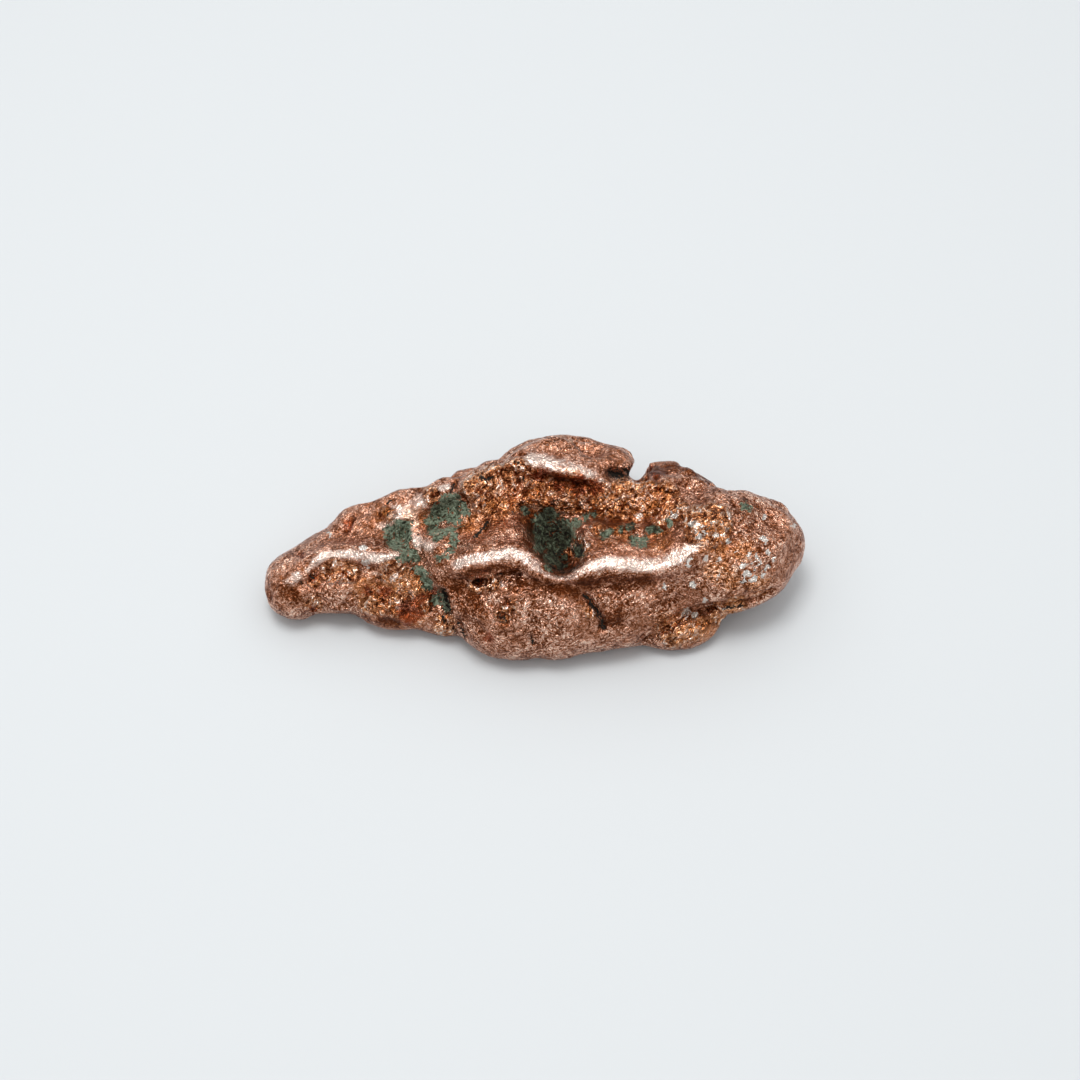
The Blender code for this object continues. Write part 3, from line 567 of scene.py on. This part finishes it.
points, directions = net_points()
keep("grain", grain)
# How hollow the skin is, finely and broadly, for painted shade in its dips and hollows.
for name, rounds in (("fine_hollow", FINE_ROUNDS), ("broad_hollow", BROAD_ROUNDS)):
    keep(name, ((evened(points, edges, rounds) - points) * directions).sum(axis=1))
for name, sheets in (("matrix", MATRIX), ("silver", SILVER), ("warm", WARM), ("red", RED)):
    keep(name, painted(points, seen, sheets))
u, v = on_sheet(points, "front")
for name, lines in (("rubbed_and_highlight", RUBBED_AND_HIGHLIGHT), ("painted_shade", PAINTED_SHADE), ("cracks", CRACKS)):
    share = np.zeros(len(points))
    for line, reach in lines.values():
        close, gaps = near_line(u, v, smooth_line(line), reach)
        share[close] = np.maximum(share[close], 1 - gaps / reach)
    keep(name, share * (seen["front"] > PAINT_SIGHT))
nugget.data.shade_smooth()


# ---------------------------------------------------------------------------------------------
# The finish: satin copper, pink where it is worn and brown where it isn't, with a painted highlight
# on the worn crests and painted shade in dips, hollows and cracks; bright broken faces in the
# grain, painted as glints; dull green matrix, grey-white silver, and oxide from orange to deep red.
# ---------------------------------------------------------------------------------------------
UMBER = (0.095, 0.022, 0.006, 1)
BROWN = (0.250, 0.082, 0.033, 1)
COPPER = (0.500, 0.220, 0.130, 1)
PINK = (0.790, 0.430, 0.305, 1)
CREAM = (0.980, 0.680, 0.520, 1)
# Near white: the painted highlight on worn crests, the painted glints in the grain, and bright
# silver.
BRIGHT = (1.000, 0.840, 0.740, 1)
AMBER = (0.600, 0.240, 0.095, 1)
GOLD = (0.930, 0.540, 0.340, 1)
ORANGE = (0.620, 0.210, 0.055, 1)
DEEP_RED = (0.340, 0.060, 0.018, 1)
BLACK = (0.010, 0.007, 0.004, 1)
OLIVE_DARK = (0.034, 0.037, 0.018, 1)
OLIVE = (0.088, 0.110, 0.066, 1)
GREEN_LIGHT = (0.270, 0.325, 0.230, 1)
SILVER_GREY = (0.700, 0.670, 0.620, 1)

# From the darkest tone of each kind to its lightest; the grain's lightest tones are painted glints.
SKIN_STOPS = ((0.0, UMBER), (0.26, BROWN), (0.55, COPPER), (0.78, PINK), (1.0, CREAM))
GRAIN_STOPS = ((0.0, UMBER), (0.28, BROWN), (0.50, AMBER), (0.70, GOLD), (0.90, BRIGHT))
WARM_STOPS = ((0.0, UMBER), (0.5, ORANGE), (1.0, GOLD))
RED_STOPS = ((0.0, UMBER), (0.5, DEEP_RED), (1.0, COPPER))
SILVER_STOPS = ((0.28, COPPER), (0.40, SILVER_GREY), (0.75, BRIGHT))
MATRIX_STOPS = ((0.0, BLACK), (0.28, OLIVE_DARK), (0.60, OLIVE), (1.0, GREEN_LIGHT))

finish = bpy.data.materials.new("worn_native_copper")
finish.use_nodes = True
tree = finish.node_tree
shader = tree.nodes["Principled BSDF"]


def node(kind, inputs=(), **settings):
    """Add a node, set its properties, and set or link its inputs by name or number."""
    made = tree.nodes.new("ShaderNode" + kind)
    for key, value in settings.items():
        setattr(made, key, value)
    for key, value in dict(inputs).items():
        if isinstance(value, bpy.types.NodeSocket):
            tree.links.new(value, made.inputs[key])
        else:
            made.inputs[key].default_value = value
    return made


def kept(name):
    return node("Attribute", attribute_name=name).outputs["Fac"]


def ranged(value, low, high, to_low=0.0, to_high=1.0):
    """A value taken from one range to another, with soft ends."""
    inputs = {
        "Value": value,
        "From Min": low,
        "From Max": high,
        "To Min": to_low,
        "To Max": to_high,
    }
    return node("MapRange", inputs, interpolation_type="SMOOTHSTEP").outputs["Result"]


def maths(operation, first, second=0.0, third=0.0):
    return node("Math", {0: first, 1: second, 2: third}, operation=operation).outputs[0]


def summed(start, *shares):
    """A start value and the sum of others, each given with its factor."""
    total = start
    for value, factor in shares:
        total = maths("MULTIPLY_ADD", value, factor, total)
    return total


def mixed(share, first, second):
    return node("Mix", {0: share, 6: first, 7: second}, data_type="RGBA").outputs[2]


def ramped(value, stops):
    """The colour at a value, where each stop is a place from 0 to 1 and its colour."""
    ramp = node("ValToRGB", {"Fac": value})
    elements = ramp.color_ramp.elements
    for position, _ in stops[2:]:
        elements.new(position)
    for element, (position, colour) in zip(elements, stops):
        element.position = position
        element.color = colour
    return ramp.outputs["Color"]


place = node("TexCoord").outputs["Object"]
in_mm = node("VectorMath", {0: place, "Scale": 1 / MM}, operation="SCALE").outputs[0]


def noise(per_mm, octaves, roughness, stretch=None, distortion=0.0):
    where = in_mm
    if stretch:
        where = node("Mapping", {"Vector": in_mm, "Scale": stretch}).outputs[0]
    inputs = {
        "Vector": where,
        "Scale": per_mm,
        "Detail": octaves,
        "Roughness": roughness,
        "Distortion": distortion,
    }
    return node("TexNoise", inputs).outputs["Fac"]


def creased(value, width):
    """1 along the thin winding lines where a noise passes its middle, 0 away from them."""
    gap = maths("ABSOLUTE", maths("SUBTRACT", value, 0.5))
    return ranged(gap, 0.0, width, 1.0, 0.0)


# Hackly copper breaks along one way: its noises are drawn out, and its angular cells turned.
DIAGONAL = (1.0, 0.6, 0.8)
SHARD_TURN = (0.0, 0.3, 0.6)
SHARD_STRETCH = (1.9, 0.9, 1.0)


def shards(per_mm):
    """Three random values for each angular cell of a net that is drawn out along one way."""
    inputs = {"Vector": in_mm, "Rotation": SHARD_TURN, "Scale": SHARD_STRETCH}
    where = node("Mapping", inputs, vector_type="TEXTURE").outputs[0]
    return node("TexVoronoi", {"Vector": where, "Scale": per_mm}).outputs["Color"]


def tilted(direction, cells, share):
    """A direction that leans a different way in each cell."""
    lean = node("VectorMath", {0: cells, 1: (0.5, 0.5, 0.5)}, operation="SUBTRACT").outputs[0]
    lean = node("VectorMath", {0: lean, "Scale": share}, operation="SCALE").outputs[0]
    leaning = node("VectorMath", {0: direction, 1: lean}, operation="ADD").outputs[0]
    return node("VectorMath", {0: leaning}, operation="NORMALIZE").outputs[0]


# Each noise by its size, in waves to the mm, its octaves and its roughness.
ragged = maths("SUBTRACT", noise(1.6, 5, 0.75), 0.5)
frayed = maths("SUBTRACT", noise(3.4, 2, 0.6), 0.5)
patches = noise(0.55, 3, 0.6)
zones = noise(0.17, 2, 0.5)
speckle = noise(2.5, 3, 0.65, distortion=1.2)
folds = noise(1.25, 2, 0.55, distortion=1.0)
wrinkles = noise(2.4, 1, 0.5, distortion=0.8)
threads = noise(1.8, 2, 0.5, distortion=1.3)
hackles = noise(1.05, 2, 0.6, stretch=DIAGONAL, distortion=1.4)
splinters = noise(1.9, 2, 0.6, stretch=DIAGONAL, distortion=1.2)
creases = creased(folds, 0.10)
fine_creases = creased(wrinkles, 0.11)
bright_threads = creased(threads, 0.035)
coarse_cells = shards(1.5)
fine_cells = shards(3.2)
cell_tone = node("SeparateColor", {0: fine_cells}).outputs["Red"]
coarse_tone = node("SeparateColor", {0: coarse_cells}).outputs["Green"]
chips = summed(-0.75, (coarse_tone, 1.0), (cell_tone, 0.5))


def share_of(name, low, high, *frays):
    """How much of a kind lies at a place: what the net keeps, frayed, from an outer edge in."""
    return ranged(summed(0.0, (kept(name), 1.0), *frays), low, high)


grain_share = share_of("grain", 0.15, 0.75, (ragged, 1.6))
warm_share = share_of("warm", -0.5, 0.9, (ragged, 5.0), (chips, 0.6))
red_share = share_of("red", -0.25, 0.35, (ragged, 3.0))
matrix_share = share_of("matrix", -0.08, 0.02, (ragged, 2.2), (chips, 0.28))
silver_share = share_of("silver", 0.02, 0.06, (chips, 0.42), (ragged, 1.3))
# Worn crests carry a painted highlight; the shade lines and the cracks carry painted shade.
rubbed_and_highlight_share = share_of("rubbed_and_highlight", 0.0, 0.7, (ragged, 1.6))
painted_shade_share = share_of("painted_shade", 0.0, 0.7, (ragged, 2.0), (chips, 0.15))
crack_share = share_of("cracks", 0.66, 0.82, (frayed, 2.2), (creases, 0.35))

# Splinters of copper stand bare out of the matrix.
matrix_share = maths("MULTIPLY", matrix_share, ranged(splinters, 0.625, 0.655, 1.0, 0.0))
bare = maths("SUBTRACT", 1.0, maths("MAXIMUM", matrix_share, crack_share))

# The skin: mottled more in some zones than in others, darker with painted shade in dips and along
# the shade lines, and lighter where worn, with a painted highlight on the worn crests.
BRIGHT_COVER = 0.8
DIP_DEPTH = 0.07
dip = ranged(kept("fine_hollow"), 0.0, DIP_DEPTH)
texture = summed(
    -0.33,
    (speckle, 1.0),
    (creases, -0.60),
    (fine_creases, -0.36),
    (bright_threads, 0.35),
    (cell_tone, 0.26),
)
calm = maths("MULTIPLY_ADD", rubbed_and_highlight_share, -0.6, 1.0)
busy = maths("MULTIPLY", ranged(zones, 0.40, 0.58, 0.60, 1.05), calm)
tone = summed(
    -0.10,
    (maths("MULTIPLY", texture, busy), 1.0),
    (patches, 1.2),
    (dip, -0.50),
    (painted_shade_share, -0.44),
    (rubbed_and_highlight_share, 0.20),
)
# Painted highlight: near white over the worn crests, where their tone is light.
painted_highlight_share = maths("MULTIPLY", rubbed_and_highlight_share, ranged(tone, 0.25, 0.70, 0.0, BRIGHT_COVER))
colour = mixed(painted_highlight_share, ramped(tone, SKIN_STOPS), BRIGHT)

# The grain: each broken face gets its own tone, running up to near white as painted glints, and
# darker with painted shade in dips.
facet = summed(
    -1.91,
    (hackles, 2.0),
    (splinters, 1.0),
    (speckle, 0.7),
    (dip, -0.35),
    (patches, 0.5),
    (coarse_tone, 0.30),
    (cell_tone, 0.40),
)
colour = mixed(grain_share, colour, ramped(facet, GRAIN_STOPS))

# Oxide and silver lie over both, then matrix, and the cracks are painted black as shade.
WARM_COVER = 0.60
RED_COVER = 0.85
colour = mixed(maths("MULTIPLY", warm_share, WARM_COVER), colour, ramped(tone, WARM_STOPS))
colour = mixed(maths("MULTIPLY", red_share, RED_COVER), colour, ramped(tone, RED_STOPS))
colour = mixed(silver_share, colour, ramped(speckle, SILVER_STOPS))
# The matrix is darker in broad hollows and along the shade lines: painted shade.
moss = summed(
    -1.84,
    (threads, 2.0),
    (speckle, 2.2),
    (cell_tone, 0.25),
    (patches, 0.8),
    (kept("broad_hollow"), -0.4),
    (painted_shade_share, -0.38),
)
colour = mixed(matrix_share, colour, ramped(moss, MATRIX_STOPS))
colour = mixed(crack_share, colour, BLACK)
tree.links.new(colour, shader.inputs["Base Color"])
tree.links.new(bare, shader.inputs["Metallic"])
shader.inputs["Specular IOR Level"].default_value = 0.25

# Rubbed places are the smoothest, and matrix the dullest.
DULL_ROUGHNESS = 0.34
RUBBED_ROUGHNESS = 0.21
roughness = summed(
    0.0,
    (ranged(tone, 0.2, 0.8, DULL_ROUGHNESS, RUBBED_ROUGHNESS), 1.0),
    (grain_share, -0.06),
    (maths("SUBTRACT", 1.0, bare), 0.4),
)
tree.links.new(roughness, shader.inputs["Roughness"])

# The finest relief, in mm, and the small facets that each lean their own way.
SKIN_LEANS = {"coarse": 0.12, "fine": 0.22}
GRAIN_LEANS = {"coarse": 0.50, "fine": 0.35}
skin_height = summed(
    0.0,
    (folds, 0.40),
    (wrinkles, 0.20),
    (creases, -0.030),
    (fine_creases, -0.020),
    (bright_threads, 0.02),
    (speckle, 0.06),
)
skin_height = maths("MULTIPLY", skin_height, ranged(busy, 0.4, 0.9, 0.7, 1.0))
grain_height = summed(0.0, (hackles, 0.75), (splinters, 0.40))
height = node("Mix", {0: grain_share, 2: skin_height, 3: grain_height}).outputs[0]
matrix_height = maths("MULTIPLY", moss, 0.3)
height = node("Mix", {0: matrix_share, 2: height, 3: matrix_height}).outputs[0]
bump = node("Bump", {"Height": height, "Distance": MM, "Strength": 1.0})
facing = bump.outputs["Normal"]
for size, cells in (("coarse", coarse_cells), ("fine", fine_cells)):
    lean = maths("MULTIPLY_ADD", grain_share, GRAIN_LEANS[size], SKIN_LEANS[size])
    facing = tilted(facing, cells, maths("MULTIPLY", lean, bare))
tree.links.new(facing, shader.inputs["Normal"])

nugget.data.materials.clear()
nugget.data.materials.append(finish)
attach(nugget, "root")
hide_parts("copper_nugget")


# ---------------------------------------------------------------------------------------------
# The table it lies on, a pale matt sheet, in a pale room that is darker on the near side. The
# light is a wide canopy and a smaller lamp, both almost straight overhead.
# ---------------------------------------------------------------------------------------------
TABLE_SIZE = 3.0
PAPER = (0.559, 0.580, 0.589, 1)
PAPER_ROUGHNESS = 0.7
ROOM_LIGHT = (0.95, 0.97, 1.0, 1)
ROOM_BRIGHT = 0.50
ROOM_DARK = 0.10
DARK_SIDE = (0.0, -0.5, 0.866)
DARK_EDGE = (0.76, 0.97)

bpy.ops.mesh.primitive_plane_add(size=TABLE_SIZE, location=(0.0, 0.0, 0.0))
table = bpy.context.object
table.name = "table"
paper = bpy.data.materials.new("pale_paper")
paper.use_nodes = True
paper_shader = paper.node_tree.nodes["Principled BSDF"]
paper_shader.inputs["Base Color"].default_value = PAPER
paper_shader.inputs["Roughness"].default_value = PAPER_ROUGHNESS
table.data.materials.append(paper)

room = bpy.data.worlds.new("pale_room")
bpy.context.scene.world = room
room.use_nodes = True
sky = room.node_tree
bearing = sky.nodes.new("ShaderNodeTexCoord")
nearness = sky.nodes.new("ShaderNodeVectorMath")
nearness.operation = "DOT_PRODUCT"
nearness.inputs[1].default_value = DARK_SIDE
sky.links.new(bearing.outputs["Generated"], nearness.inputs[0])
shade = sky.nodes.new("ShaderNodeMapRange")
shade.interpolation_type = "SMOOTHSTEP"
shade.inputs["From Min"].default_value = DARK_EDGE[0]
shade.inputs["From Max"].default_value = DARK_EDGE[1]
shade.inputs["To Min"].default_value = ROOM_BRIGHT
shade.inputs["To Max"].default_value = ROOM_DARK
sky.links.new(nearness.outputs["Value"], shade.inputs["Value"])
sky.links.new(shade.outputs["Result"], sky.nodes["Background"].inputs["Strength"])
sky.nodes["Background"].inputs["Color"].default_value = ROOM_LIGHT


def lamp(name, place, size, power):
    """A square soft lamp that shines at the nugget."""
    light = bpy.data.lights.new(name, "AREA")
    light.size = size
    light.energy = power
    holder = bpy.data.objects.new(name, light)
    holder.location = place
    holder.rotation_mode = "QUATERNION"
    holder.rotation_quaternion = (-Vector(place)).to_track_quat("-Z", "Y")
    bpy.context.scene.collection.objects.link(holder)


lamp("canopy", (0.0, 0.06, 0.60), 1.60, 6.6)
lamp("overhead", (-0.05, 0.03, 0.50), 0.18, 1.3)


# ---------------------------------------------------------------------------------------------
# The camera stands where the viewer of the front sheet stands, in front and sixty degrees up,
# and looks at the sheet's middle.
# ---------------------------------------------------------------------------------------------
LENS = 70.0
SENSOR = 36.0
NEAREST = 0.01

camera = bpy.data.objects.new("camera", bpy.data.cameras.new("camera"))
camera.data.lens = LENS
camera.data.sensor_width = SENSOR
camera.data.clip_start = NEAREST
towards = sheet_frame("front")[2]
camera.location = (SHEET_MIDDLE + towards * VIEWER_DISTANCE) * MM
camera.rotation_mode = "QUATERNION"
camera.rotation_quaternion = (-towards).to_track_quat("-Z", "Y")
bpy.context.scene.collection.objects.link(camera)
bpy.context.scene.camera = camera
bpy.context.scene.view_settings.view_transform = "Standard"
